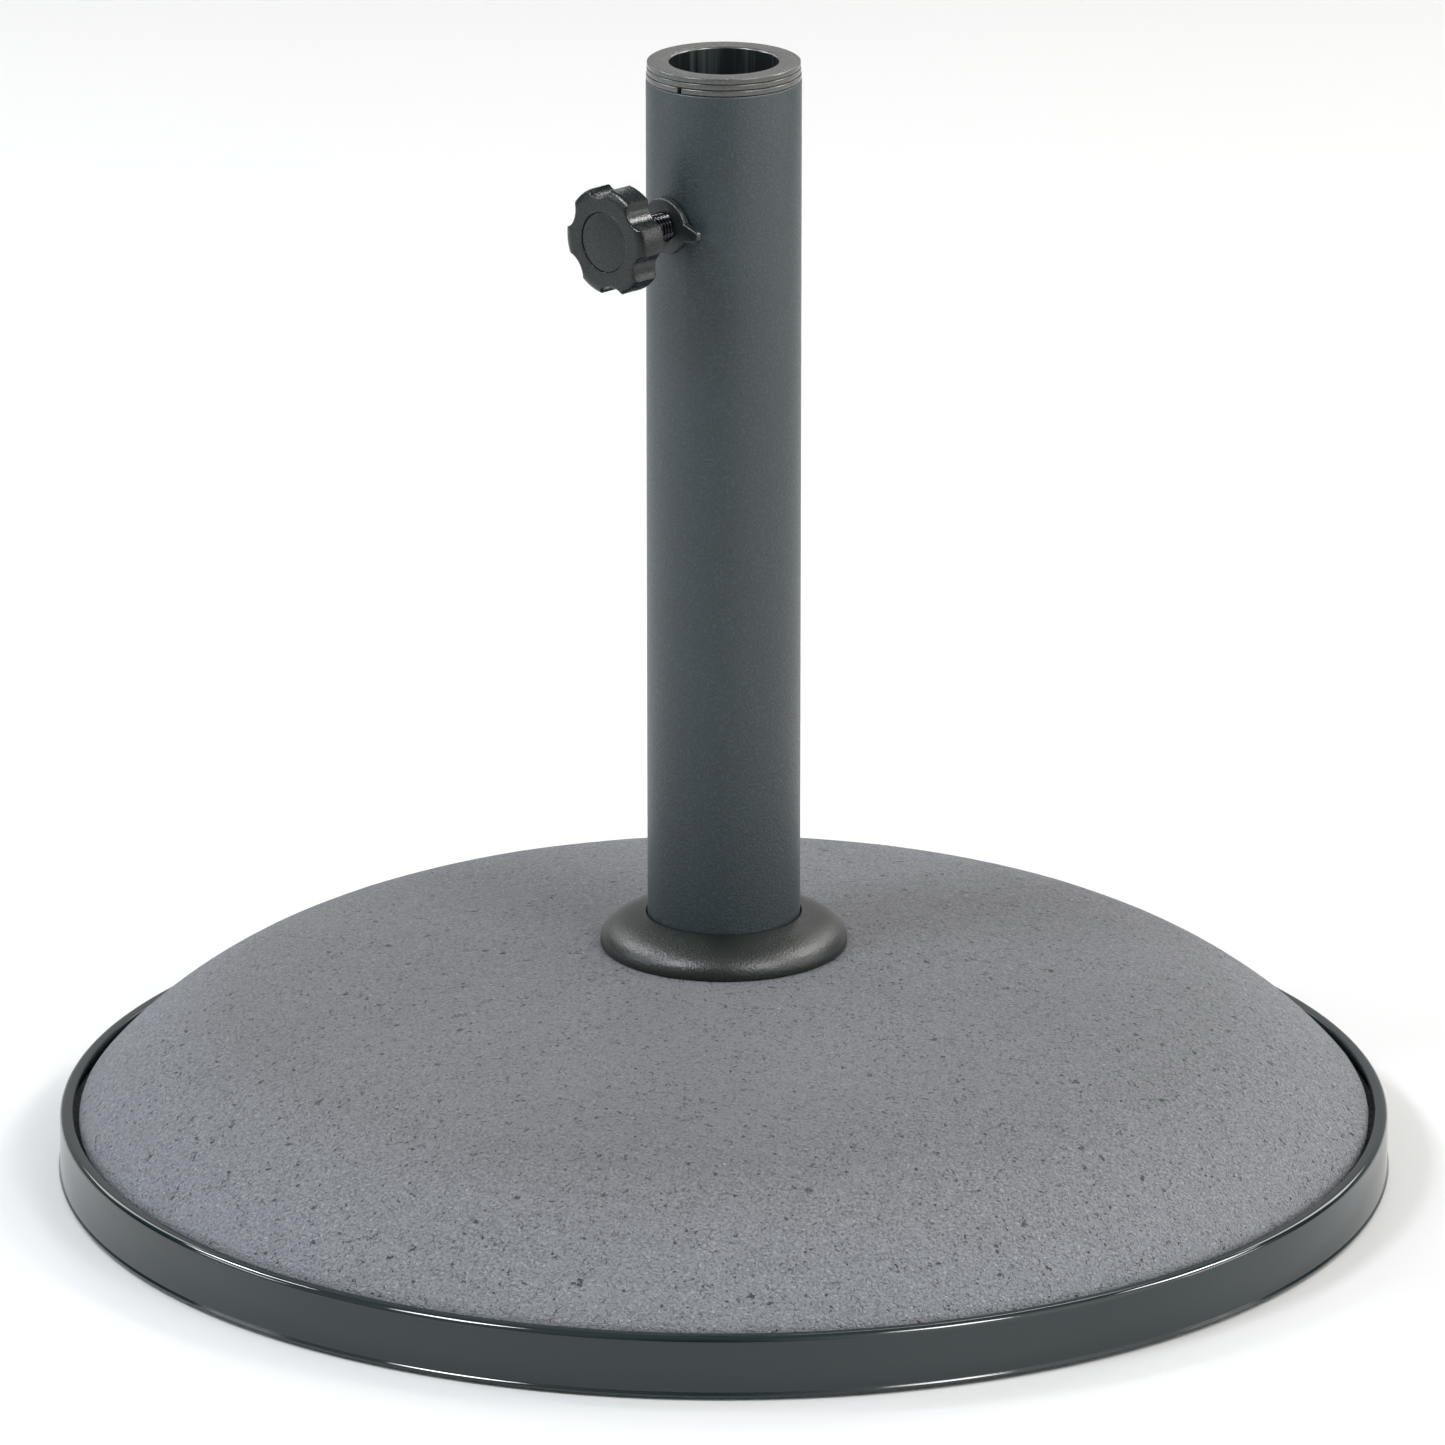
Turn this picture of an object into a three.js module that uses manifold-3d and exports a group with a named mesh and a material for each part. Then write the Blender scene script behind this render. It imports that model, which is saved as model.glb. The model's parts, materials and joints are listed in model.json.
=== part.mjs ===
// Parasol base: a concrete dome in a channel-section rim, a bolted-down pole tube with nested
// reducers, and a clamp screw with a lobed knob and a winged lock nut.
// Millimetres, +Z up, origin on the ground on the tube's axis, front towards -Y.
import * as THREE from 'three';
import { mergeVertices } from 'three/addons/utils/BufferGeometryUtils.js';
import Module from 'manifold-3d';

const wasm = await Module();
wasm.setup();

// ---- Driving dimensions ----
const GAP = 0.3;                      // clearance between neighbouring pieces

const BASE_RADIUS = 250;              // rim, at the bead round its foot
const RIM_HEIGHT = 23.9;              // top of the rim's lip
const RIM_SHEET = 2;                  // wall, lip and flange thickness
const RIM_BEND = 2;                   // outer bend radius
const RIM_BEAD = 0.95;                // radius of the bead
const RIM_WALL = 249.35;              // rim's wall, just above the bead
const RIM_DRAFT = 0.15;               // how much narrower the wall is at its top
const LIP_RADIUS = 244.2;             // inner edge of the lip
const FLANGE_RADIUS = 228;            // inner edge of the bottom flange

const PAD_RADIUS = 7;                 // rubber pads under the flange
const PAD_HEIGHT = 1;
const PAD_RING = 238;
const PAD_COUNT = 4;

const CROWN_HEIGHT = 86.8;            // top of the dome, were it not for the tube's socket
const CROWN_RADIUS = 951.2;           // sphere radius of the dome
const SHOULDER_RADIUS = 149.1;        // rounder shoulder towards the rim
const SHOULDER_END = [240.3, 25.1];   // radius and height where the shoulder ends
const EDGE_RADIUS = 7;                // small round that dives behind the lip
const GROOVE_FLOOR = 16;              // bottom of the groove between the concrete and the lip

const SOCKET_RADIUS = 29.1;           // recess for the tube's foot, from above
const SOCKET_FLOOR = 62;
const BOLT_HOLE = 7;
const RECESS_RADIUS = 30;             // recess for the bolt's head, from below
const RECESS_CEILING = 24.3;

const TUBE_RADIUS = 28.5;
const TUBE_WALL = 1.5;
const TUBE_TOP = 418.8;

const FOOT_PLATE = { bore: 6.5, thickness: 5 };   // welded under the tube
const FLAT_WASHER = { bore: 6.5, radius: 18.5, thickness: 3 };
const SPRING_WASHER = { bore: 6.3, radius: 10.5, thickness: 2.5, split: 1.6 };
const FOOT_BOLT = { radius: 5.9, length: 60, head: 7.5, flats: 18 };   // M12
const FOOT_NUT = { bore: 6.2, height: 10, flats: 18 };

const COLLAR_RADIUS = 46.2;           // plastic collar round the tube's foot
const COLLAR_BORE = 29.2;
const COLLAR_FOOT = 1.5;              // straight part at its outer edge
const COLLAR_RISE = 11.4;             // half-height of the ellipse above it
const COLLAR_CENTRE = 23;             // radius at which that ellipse is centred
const COLLAR_WALL = 2;

const REDUCERS = [                    // outer radius, bore radius and flange radius
  { name: 'reducer_outer', outer: 26.7, bore: 25.0, flange: 28.4 },
  { name: 'reducer_middle', outer: 24.7, bore: 22.5, flange: 28.2 },
  { name: 'reducer_inner', outer: 22.2, bore: 20.0, flange: 28.1 },
];
const REDUCER_FLANGE = 2;             // thickness of each flange
const REDUCER_STEP = 2.2;             // height of one flange above the next
const REDUCER_SEAT = 0.2;             // gap between the tube's end and the lowest flange
const REDUCER_BOTTOM = 339;           // lower end of every sleeve
const MOUTH_CHAMFER = 0.7;
const SLIT_WIDTH = 1.8;               // slit along the outer reducer
const SLIT_AZIMUTH = 34.6;            // degrees from the front towards -X

const SCREW_HEIGHT = 368.9;           // height of the clamp screw's axis
const SCREW_AZIMUTH = 44.3;           // degrees from the front towards -X
const SCREW_RADIUS = 5;               // M10
const SCREW_START = 23.6;             // distances along the screw's axis from the tube's axis
const HEAD_START = 53.3;
const HEAD_HEIGHT = 6.4;
const HEAD_FLATS = 17;                // width across flats
const TIP_START = 22;
const TIP_RADIUS = 3.8;
const TIP_THICKNESS = 1.3;
const STEM_RADIUS = 2;
const STEM_LENGTH = 4.4;
const BOSS_RADIUS = 8.8;              // threaded boss in the tube's wall
const BOSS_BODY = 7;
const BOSS_START = 21;
const BOSS_END = 28.7;
const SLOT_HALF_WIDTH = 7.8;          // slot in each reducer, open at its lower end

const NUT_START = 29;                 // winged lock nut
const NUT_THICKNESS = 2.6;
const NUT_RADIUS = 10.5;
const NUT_TURN = -4.5;                // degrees, how it happens to stand
const WING_REACH = 18.4;
const WING_ROOT = 4.8;                // half the wing's width at the disc
const WING_NOSE = 1.8;                // radius of the wing's rounded tip

const KNOB_START = 50.8;              // lobed knob, from its back to its face
const KNOB_END = 62.4;
const KNOB_RADIUS = 20;
const KNOB_FACE_RADIUS = 16.3;        // flat part of its face
const KNOB_SHOULDER = 2;              // how far back the rounded shoulder reaches
const KNOB_BACK_ROUND = 1;
const KNOB_SCOOPS = 6;                // round scoops between the lobes
const KNOB_TURN = 8.5;                // degrees from the screw's own +X to the first lobe
const SCOOP_RADIUS = 6;
const SCOOP_CENTRE = 22.5;
const KNOB_HOLLOW = { inner: 11.2, outer: 15.2, depth: 6 };
const CAP_RADIUS = 10.9;              // disc that covers the screw's head
const CAP_INSET = 0.3;

const WIDE = 60;                      // segments round the concrete and the rim
const ROUND = 48;                     // round the tube, reducers and collar
const SMALL = 24;                     // round bolts, holes and washers

// ---- Materials ----
const finish = (color, roughness, metalness = 0) =>
  new THREE.MeshStandardMaterial({ color, roughness, metalness });
const CONCRETE = finish(0x8a8c90, 0.9);
const RIM_COAT = finish(0x454d4f, 0.25);
const POWDER_COAT = finish(0x434c53, 0.6, 0.2);
const BLACK_PLASTIC = finish(0x3c4140, 0.5);
const KNOB_PLASTIC = finish(0x33383a, 0.35);
const ZINC = finish(0xb4b7b8, 0.3, 1);
const BLACK_STEEL = finish(0x2b2e30, 0.35, 0.8);
const RUBBER = finish(0x1c1d1e, 0.9);

// ---- Helpers ----
const degrees = THREE.MathUtils.degToRad;

// Points on an arc round (x, y); angles in radians, both ends included.
function arc(x, y, radius, from, to, steps, radiusY = radius) {
  return Array.from({ length: steps + 1 }, (_, i) => {
    const angle = from + (to - from) * i / steps;
    return [x + radius * Math.cos(angle), y + radiusY * Math.sin(angle)];
  });
}

// A body of revolution about +Z from a profile of [radius, height] points that runs
// anticlockwise and is closed here where it doesn't meet the axis.
function revolved(profile, segments) {
  const points = profile.map(([r, z]) => new THREE.Vector2(r, z));
  if (profile[0][0] > 0) points.push(points[0].clone());
  return new THREE.LatheGeometry(points, segments).rotateX(Math.PI / 2);
}

// A ring, or a disc when inner is 0, between two heights.
function ring(inner, outer, low, high, segments) {
  return revolved([[inner, low], [outer, low], [outer, high], [inner, high]], segments);
}

// A prism along +Z from an outline of [x, y] points.
function prism(outline, low, high) {
  const shape = new THREE.Shape(outline.map(([x, y]) => new THREE.Vector2(x, y)));
  const options = { depth: high - low, bevelEnabled: false };
  return new THREE.ExtrudeGeometry(shape, options).translate(0, 0, low);
}

const circle = (radius, segments) => arc(0, 0, radius, 0, 2 * Math.PI, segments).slice(0, segments);
const hexagon = (flats) => circle(flats / Math.sqrt(3), 6);

// Geometry to solid: positions only, shared vertices merged, collapsed triangles dropped.
function solid(geometry) {
  const bare = geometry.clone();
  bare.deleteAttribute('normal');
  bare.deleteAttribute('uv');
  const merged = mergeVertices(bare, 1e-4);
  const index = Array.from(merged.index.array);
  const kept = [];
  for (let i = 0; i < index.length; i += 3) {
    const [a, b, c] = index.slice(i, i + 3);
    if (a !== b && b !== c && c !== a) kept.push(a, b, c);
  }
  const vertProperties = new Float32Array(merged.attributes.position.array);
  const triVerts = new Uint32Array(kept);
  return new wasm.Manifold(new wasm.Mesh({ numProp: 3, vertProperties, triVerts }));
}

function geometryOf(manifold) {
  const { vertProperties, triVerts } = manifold.getMesh();
  const geometry = new THREE.BufferGeometry();
  geometry.setAttribute('position', new THREE.BufferAttribute(new Float32Array(vertProperties), 3));
  geometry.setIndex(new THREE.BufferAttribute(new Uint32Array(triVerts), 1));
  geometry.computeVertexNormals();
  return geometry;
}

function cut(body, ...tools) {
  return geometryOf(tools.map(solid).reduce((left, tool) => left.subtract(tool), solid(body)));
}

function join(...parts) {
  return geometryOf(parts.map(solid).reduce((sum, part) => sum.add(part)));
}

const base = new THREE.Group();

function place(parent, name, geometry, material) {
  const mesh = new THREE.Mesh(geometry, material);
  mesh.name = name;
  parent.add(mesh);
  return mesh;
}

// The clamp screw's own frame: +Z outwards along the screw, +Y up, origin on the tube's axis.
const screwAzimuth = degrees(SCREW_AZIMUTH);
const outwards = new THREE.Vector3(-Math.sin(screwAzimuth), -Math.cos(screwAzimuth), 0);
const up = new THREE.Vector3(0, 0, 1);
const screwFrame = new THREE.Matrix4()
  .makeBasis(new THREE.Vector3().crossVectors(up, outwards), up, outwards)
  .setPosition(0, 0, SCREW_HEIGHT);
const clamp = new THREE.Group();
clamp.applyMatrix4(screwFrame);
base.add(clamp);

// ---- The dome's shape ----
// The crown is a sphere about a point on the axis. The shoulder is a tighter arc that leaves
// it smoothly, so its centre lies on the line to the tangent point, and it ends at SHOULDER_END.
const crownCentre = CROWN_HEIGHT - CROWN_RADIUS;
const toEnd = Math.hypot(SHOULDER_END[0], SHOULDER_END[1] - crownCentre);
const toShoulder = CROWN_RADIUS - SHOULDER_RADIUS;
const crownEnd = Math.atan2(SHOULDER_END[1] - crownCentre, SHOULDER_END[0])
  + Math.acos((toShoulder ** 2 + toEnd ** 2 - SHOULDER_RADIUS ** 2) / (2 * toShoulder * toEnd));
const shoulderCentre = [
  toShoulder * Math.cos(crownEnd),
  crownCentre + toShoulder * Math.sin(crownEnd),
];
const shoulderEnd = Math.atan2(
  SHOULDER_END[1] - shoulderCentre[1],
  SHOULDER_END[0] - shoulderCentre[0],
);
const domeHeight = (radius) => crownCentre + Math.sqrt(CROWN_RADIUS ** 2 - radius ** 2);

// ---- Base: concrete, rim and pads ----
function concreteBody() {
  const bottom = PAD_HEIGHT + RIM_SHEET + GAP;
  const wall = RIM_WALL - RIM_DRAFT - RIM_SHEET - GAP;
  const edgeCentre = [
    SHOULDER_END[0] - EDGE_RADIUS * Math.cos(shoulderEnd),
    SHOULDER_END[1] - EDGE_RADIUS * Math.sin(shoulderEnd),
  ];
  const crownStart = Math.acos(SOCKET_RADIUS / CROWN_RADIUS);
  return revolved([
    [RECESS_RADIUS, bottom],
    [wall, bottom],
    [wall, GROOVE_FLOOR],
    [edgeCentre[0] + EDGE_RADIUS, GROOVE_FLOOR],
    ...arc(...edgeCentre, EDGE_RADIUS, 0, shoulderEnd, 3),
    ...arc(...shoulderCentre, SHOULDER_RADIUS, shoulderEnd, crownEnd, 5).slice(1),
    ...arc(0, crownCentre, CROWN_RADIUS, crownEnd, crownStart, 3).slice(1),
    [SOCKET_RADIUS, SOCKET_FLOOR],
    [BOLT_HOLE, SOCKET_FLOOR],
    [BOLT_HOLE, RECESS_CEILING],
    [RECESS_RADIUS, RECESS_CEILING],
  ], WIDE);
}

// A channel that wraps the concrete's edge: flange and bead below, drafted wall, lip above.
function rimBand() {
  const top = RIM_WALL - RIM_DRAFT;
  const bottom = PAD_HEIGHT;
  const lipRound = 0.8;
  return revolved([
    [FLANGE_RADIUS, bottom],
    ...arc(BASE_RADIUS - RIM_BEAD, bottom + RIM_BEAD, RIM_BEAD, -Math.PI / 2, Math.PI / 3, 4),
    [RIM_WALL, bottom + 2 * RIM_BEAD],
    ...arc(top - RIM_BEND, RIM_HEIGHT - RIM_BEND, RIM_BEND, 0, Math.PI / 2, 2),
    ...arc(LIP_RADIUS + lipRound, RIM_HEIGHT - lipRound, lipRound, Math.PI / 2, Math.PI, 1),
    [LIP_RADIUS, RIM_HEIGHT - RIM_SHEET],
    [top - RIM_SHEET, RIM_HEIGHT - RIM_SHEET],
    [RIM_WALL - RIM_SHEET, bottom + RIM_SHEET],
    [FLANGE_RADIUS, bottom + RIM_SHEET],
  ], WIDE);
}

place(base, 'concrete_body', concreteBody(), CONCRETE);
place(base, 'rim_band', rimBand(), RIM_COAT);
for (let i = 0; i < PAD_COUNT; i += 1) {
  const angle = 2 * Math.PI * (i + 0.5) / PAD_COUNT;
  const disc = prism(circle(PAD_RADIUS, SMALL), 0, PAD_HEIGHT);
  const pad = place(base, `floor_pad_${i + 1}`, disc, RUBBER);
  pad.position.set(PAD_RING * Math.cos(angle), PAD_RING * Math.sin(angle), 0);
}

// ---- Pole tube and the bolt that holds it down ----
// The washers and the bolt's head are stacked downwards from the recess's ceiling.
const plateBottom = SOCKET_FLOOR + GAP;
const tubeBottom = plateBottom + FOOT_PLATE.thickness + GAP;
const tubeBore = TUBE_RADIUS - TUBE_WALL;
const flatWasherTop = RECESS_CEILING - GAP;
const springWasherTop = flatWasherTop - FLAT_WASHER.thickness - GAP;
const boltSeat = springWasherTop - SPRING_WASHER.thickness - GAP;

function poleTube() {
  const pipe = ring(tubeBore, TUBE_RADIUS, tubeBottom, TUBE_TOP, ROUND);
  const hole = prism(circle(BOSS_BODY + GAP, SMALL), 0, 2 * TUBE_RADIUS).applyMatrix4(screwFrame);
  return cut(pipe, hole);
}

function footPlate() {
  return ring(FOOT_PLATE.bore, TUBE_RADIUS, plateBottom, plateBottom + FOOT_PLATE.thickness, ROUND);
}

function footBolt() {
  const { radius, length, head, flats } = FOOT_BOLT;
  return join(
    prism(hexagon(flats), boltSeat - head, boltSeat),
    prism(circle(radius, SMALL), boltSeat - 1, boltSeat + length),
  );
}

function footNut() {
  const { bore, height, flats } = FOOT_NUT;
  return cut(
    prism(hexagon(flats), tubeBottom, tubeBottom + height),
    prism(circle(bore, SMALL), tubeBottom - 1, tubeBottom + height + 1),
  );
}

function flatWasher() {
  const { bore, radius, thickness } = FLAT_WASHER;
  return ring(bore, radius, flatWasherTop - thickness, flatWasherTop, SMALL);
}

function springWasher() {
  const { bore, radius, thickness, split } = SPRING_WASHER;
  const coil = ring(bore, radius, springWasherTop - thickness, springWasherTop, SMALL);
  const saw = new THREE.BoxGeometry(radius, split, 3 * thickness).translate(radius, 0, springWasherTop);
  return cut(coil, saw);
}

place(base, 'pole_tube', poleTube(), POWDER_COAT);
place(base, 'tube_foot_plate', footPlate(), POWDER_COAT);
place(base, 'foot_nut', footNut(), ZINC);
place(base, 'foot_bolt', footBolt(), ZINC);
place(base, 'spring_washer', springWasher(), ZINC);
place(base, 'flat_washer', flatWasher(), ZINC);

// ---- Foot collar: a thin elliptical shell that sits on the dome ----
function footCollar() {
  const seat = domeHeight(COLLAR_RADIUS) + GAP;
  const shell = (inset, steps) => {
    const radius = COLLAR_RADIUS - COLLAR_CENTRE - inset;
    const end = Math.acos((COLLAR_BORE - COLLAR_CENTRE) / radius);
    return arc(COLLAR_CENTRE, seat + COLLAR_FOOT, radius, 0, end, steps, COLLAR_RISE - inset);
  };
  return revolved([
    [COLLAR_RADIUS - COLLAR_WALL, seat],
    [COLLAR_RADIUS, seat],
    ...shell(0, 6),
    ...shell(COLLAR_WALL, 4).reverse(),
  ], ROUND);
}

place(base, 'foot_collar', footCollar(), BLACK_PLASTIC);

// ---- Reducers: flanged sleeves, one inside the other ----
function reducer({ outer, bore, flange }, flangeLow) {
  const top = flangeLow + REDUCER_FLANGE;
  const sleeve = revolved([
    [bore, REDUCER_BOTTOM],
    [outer, REDUCER_BOTTOM],
    [outer, flangeLow],
    [flange, flangeLow],
    [flange, top],
    [bore + MOUTH_CHAMFER, top],
    [bore, top - MOUTH_CHAMFER],
  ], ROUND);
  const slotRoof = arc(0, 0.4, SLOT_HALF_WIDTH, 0, Math.PI, SMALL / 2);
  const below = REDUCER_BOTTOM - SCREW_HEIGHT - 1;
  const outline = [...slotRoof, [-SLOT_HALF_WIDTH, below], [SLOT_HALF_WIDTH, below]];
  return [sleeve, prism(outline, bore / 2, outer + 5).applyMatrix4(screwFrame)];
}

REDUCERS.forEach((size, i) => {
  const cuts = reducer(size, TUBE_TOP + REDUCER_SEAT + i * REDUCER_STEP);
  if (i === 0) {
    const slit = new THREE.BoxGeometry(SLIT_WIDTH, 2 * TUBE_RADIUS, 200)
      .translate(0, -TUBE_RADIUS, TUBE_TOP)
      .rotateZ(-degrees(SLIT_AZIMUTH));
    cuts.push(slit);
  }
  place(base, size.name, cut(...cuts), BLACK_PLASTIC);
});

// ---- Clamp: boss, lock nut, screw, tip and knob, along the screw's own +Z ----
// The boss is turned from the front and hollowed to fit the tube's wall.
function threadedBoss() {
  const threadHole = prism(circle(SCREW_RADIUS + GAP, SMALL), 0, 2 * BOSS_END);
  const body = prism(circle(BOSS_BODY, SMALL), BOSS_START, BOSS_END);
  const flange = prism(circle(BOSS_RADIUS, SMALL), BOSS_END - 4, BOSS_END);
  const tubeSkin = prism(circle(TUBE_RADIUS + GAP / 2, 2 * ROUND), -2 * NUT_RADIUS, 2 * NUT_RADIUS)
    .rotateX(Math.PI / 2);
  const saddle = solid(flange).subtract(solid(tubeSkin));
  return geometryOf(solid(body).add(saddle).subtract(solid(threadHole)));
}

function wingLockNut() {
  const end = NUT_START + NUT_THICKNESS;
  const nose = WING_REACH - WING_NOSE;
  const root = NUT_RADIUS * 0.8;
  const wing = [
    [0, WING_ROOT], [0, -WING_ROOT], [root, -WING_ROOT],
    ...arc(nose, 0, WING_NOSE, -Math.PI / 3, Math.PI / 3, 4),
    [root, WING_ROOT],
  ];
  const oppositeWing = wing.map(([x, y]) => [-x, -y]);
  const disc = prism(circle(NUT_RADIUS, 2 * SMALL), NUT_START, end);
  const hole = prism(circle(SCREW_RADIUS + GAP, SMALL), NUT_START - 1, end + 1);
  const body = [disc, prism(wing, NUT_START, end), prism(oppositeWing, NUT_START, end)]
    .map(solid)
    .reduce((sum, part) => sum.add(part));
  return geometryOf(body.subtract(solid(hole)));
}

// A swivelling tip in the screw's end, so that the pole isn't scored.
function pressureTip() {
  const shoulder = TIP_START + TIP_THICKNESS;
  return join(
    prism(circle(TIP_RADIUS, SMALL), TIP_START, shoulder),
    prism(circle(STEM_RADIUS, SMALL), shoulder - 1, shoulder + STEM_LENGTH),
  );
}

function clampScrew() {
  const shank = prism(circle(SCREW_RADIUS, SMALL), SCREW_START, HEAD_START + 1);
  const head = prism(hexagon(HEAD_FLATS), HEAD_START, HEAD_START + HEAD_HEIGHT);
  const stemEnd = TIP_START + TIP_THICKNESS + STEM_LENGTH;
  const stemHole = prism(circle(STEM_RADIUS + GAP, SMALL), 0, stemEnd + GAP);
  return geometryOf(solid(shank).add(solid(head)).subtract(solid(stemHole)));
}

// A turned blank with a broad elliptical shoulder, scooped between the lobes and hollowed
// from the back.
function knobBody() {
  const shoulder = arc(
    KNOB_FACE_RADIUS, KNOB_END - KNOB_SHOULDER,
    KNOB_RADIUS - KNOB_FACE_RADIUS, 0, Math.PI / 2, 4, KNOB_SHOULDER,
  );
  const blank = revolved([
    [0, KNOB_START],
    [KNOB_RADIUS - KNOB_BACK_ROUND, KNOB_START],
    [KNOB_RADIUS, KNOB_START + KNOB_BACK_ROUND],
    ...shoulder,
    [0, KNOB_END],
  ], ROUND);
  const scoops = Array.from({ length: KNOB_SCOOPS }, (_, i) => {
    const angle = degrees(KNOB_TURN) + 2 * Math.PI * (i + 0.5) / KNOB_SCOOPS;
    return prism(circle(SCOOP_RADIUS, SMALL), KNOB_START - 1, KNOB_END + 1)
      .translate(SCOOP_CENTRE * Math.cos(angle), SCOOP_CENTRE * Math.sin(angle), 0);
  });
  const headPocket = prism(hexagon(HEAD_FLATS + 2 * GAP), HEAD_START - GAP, KNOB_END + 1);
  const shankHole = prism(circle(SCREW_RADIUS + GAP, SMALL), KNOB_START - 1, KNOB_END);
  const capSeat = prism(circle(CAP_RADIUS + GAP, 2 * SMALL), HEAD_START + HEAD_HEIGHT, KNOB_END + 1);
  const hollowEnd = KNOB_START + KNOB_HOLLOW.depth;
  const hollow = ring(KNOB_HOLLOW.inner, KNOB_HOLLOW.outer, KNOB_START - 1, hollowEnd, 2 * SMALL);
  return cut(blank, ...scoops, headPocket, shankHole, capSeat, hollow);
}

function knobCap() {
  return prism(circle(CAP_RADIUS, 2 * SMALL), HEAD_START + HEAD_HEIGHT + GAP, KNOB_END - CAP_INSET);
}

place(clamp, 'threaded_boss', threadedBoss(), BLACK_STEEL);
place(clamp, 'wing_lock_nut', wingLockNut(), BLACK_PLASTIC).rotation.z = degrees(NUT_TURN);
place(clamp, 'pressure_tip', pressureTip(), ZINC);
place(clamp, 'clamp_screw', clampScrew(), ZINC);
place(clamp, 'knob_body', knobBody(), KNOB_PLASTIC);
place(clamp, 'knob_cap', knobCap(), KNOB_PLASTIC);

export default base;
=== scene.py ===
"""Looks of the parasol base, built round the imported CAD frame. Metres, +Z up, front towards -Y."""

import json
import math

import bmesh
import bpy
import numpy as np
from mathutils import Matrix, Vector


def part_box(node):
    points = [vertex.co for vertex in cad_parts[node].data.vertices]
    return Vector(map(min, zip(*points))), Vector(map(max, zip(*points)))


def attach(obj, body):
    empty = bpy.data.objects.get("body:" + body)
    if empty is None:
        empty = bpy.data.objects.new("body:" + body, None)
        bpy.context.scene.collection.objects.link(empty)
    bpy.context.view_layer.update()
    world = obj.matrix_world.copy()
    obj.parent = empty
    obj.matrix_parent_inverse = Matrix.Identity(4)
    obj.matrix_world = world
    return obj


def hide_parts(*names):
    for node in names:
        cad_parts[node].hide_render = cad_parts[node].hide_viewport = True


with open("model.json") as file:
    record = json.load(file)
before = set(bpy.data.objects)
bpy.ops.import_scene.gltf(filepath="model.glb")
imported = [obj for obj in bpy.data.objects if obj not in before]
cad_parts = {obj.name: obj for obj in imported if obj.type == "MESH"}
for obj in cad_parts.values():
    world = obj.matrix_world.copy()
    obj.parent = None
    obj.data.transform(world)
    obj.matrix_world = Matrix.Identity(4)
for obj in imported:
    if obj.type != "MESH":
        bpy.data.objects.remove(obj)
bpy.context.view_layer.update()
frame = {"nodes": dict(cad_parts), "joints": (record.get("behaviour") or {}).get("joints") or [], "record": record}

MM = 0.001
TAU = 2 * math.pi

# ---- What the frame says ----
joints = {joint["name"]: joint for joint in frame["joints"]}
SCREW_AXIS = Vector(joints["knob_turn"]["axis"]).normalized()
SCREW_HEIGHT = joints["knob_turn"]["pos_m"][2]
THREAD_PITCH = frame["record"]["behaviour"]["couplings"][0]["ratio"] * TAU


def low_high(node):
    """The lowest and highest Z of a CAD node."""
    low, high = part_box(node)
    return low.z, high.z


def radius_of(node):
    """The outer radius of a CAD node that is round about the tube's axis."""
    low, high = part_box(node)
    return max(high.x, high.y, -low.x, -low.y)


# ---- Camera ----
CAMERA_DISTANCE = 3.7562
CAMERA_HEIGHT = 1.3873
CAMERA_PITCH = math.radians(17.93)
CAMERA_LENS = 264.7
CAMERA_SHIFT = -0.0009


def make_camera():
    data = bpy.data.cameras.new("camera")
    data.lens = CAMERA_LENS
    data.sensor_width = 36
    data.shift_x = CAMERA_SHIFT
    data.clip_end = 50
    camera = bpy.data.objects.new("camera", data)
    camera.location = (0, -CAMERA_DISTANCE, CAMERA_HEIGHT)
    camera.rotation_euler = (math.pi / 2 - CAMERA_PITCH, 0, 0)
    bpy.context.scene.collection.objects.link(camera)
    bpy.context.scene.camera = camera


# ---- Shaders ----
SPOT_CORE = 0.45                        # share of a spot's radius that is at full strength


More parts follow.
